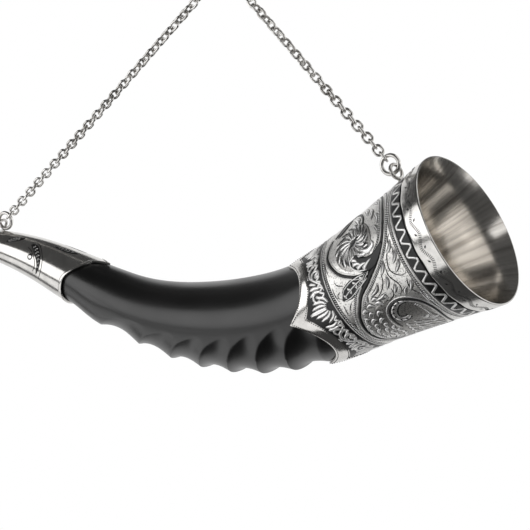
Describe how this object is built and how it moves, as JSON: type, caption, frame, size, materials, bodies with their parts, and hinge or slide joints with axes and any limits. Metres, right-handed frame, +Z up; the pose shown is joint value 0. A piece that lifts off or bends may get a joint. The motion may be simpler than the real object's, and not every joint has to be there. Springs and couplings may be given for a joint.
{
  "type": "drinking horn",
  "caption": "Curved black drinking horn with an engraved silver mouth mount and lining, a silver tail cap and a fine link chain that it hangs by from a hook.",
  "frame": {"origin": "middle of the hole of the link that hangs on the hook", "axes": "+X toward the mouth end, +Z up, -Y the side that the picture shows more of"},
  "size_m": [0.3259, 0.072, 0.1946],
  "materials": {
    "black_horn": "polished",
    "mount_silver": "polished and engraved",
    "chain_silver": "oxidised in the hollows"
  },
  "bodies": {
    "chain_top": {"hang_link": "chain_silver", "mouth_chain_1": "chain_silver", "tail_chain_1": "chain_silver"},
    "chain_2": {"mouth_chain_2": "chain_silver", "tail_chain_2": "chain_silver"},
    "chain_3": {"mouth_chain_3": "chain_silver", "tail_chain_3": "chain_silver"},
    "chain_4": {"mouth_chain_4": "chain_silver", "tail_chain_4": "chain_silver"},
    "chain_5": {"mouth_chain_5": "chain_silver", "tail_chain_5": "chain_silver"},
    "chain_6": {"mouth_chain_6": "chain_silver", "tail_chain_6": "chain_silver", "mouth_ring": "chain_silver", "tail_ring": "chain_silver"},
    "horn": {"horn_body": "black_horn", "mouth_liner": "mount_silver", "rim_band": "mount_silver", "mouth_collar": "mount_silver", "mouth_eye": "chain_silver", "tail_cap": "mount_silver", "tail_eye": "chain_silver", "tail_knob": "mount_silver"}
  },
  "joints": [
    {"name": "fold_1", "type": "hinge", "parent": "chain_top", "child": "chain_2", "pos_m": [-0.02504, 0, -0.02112], "axis": [0.9863, 0, 0.165], "range_deg": [-20, 20]},
    {"name": "fold_2", "type": "hinge", "parent": "chain_2", "child": "chain_3", "pos_m": [-0.0486, 0, -0.0415], "axis": [0.9912, 0, 0.1323], "range_deg": [-20, 20]},
    {"name": "fold_3", "type": "hinge", "parent": "chain_3", "child": "chain_4", "pos_m": [-0.07217, 0, -0.06187], "axis": [0.9891, 0, 0.1472], "range_deg": [-20, 20]},
    {"name": "fold_4", "type": "hinge", "parent": "chain_4", "child": "chain_5", "pos_m": [-0.09573, 0, -0.08224], "axis": [0.9879, 0, 0.1549], "range_deg": [-20, 20]},
    {"name": "fold_5", "type": "hinge", "parent": "chain_5", "child": "chain_6", "pos_m": [-0.11929, 0, -0.10261], "axis": [0.9896, 0, 0.1435], "range_deg": [-20, 20]},
    {"name": "horn_swing", "type": "hinge", "parent": "chain_6", "child": "horn", "pos_m": [-0.14846, 0, -0.12782], "axis": [0.99, 0, 0.1412], "range_deg": [-45, 45]}
  ]
}
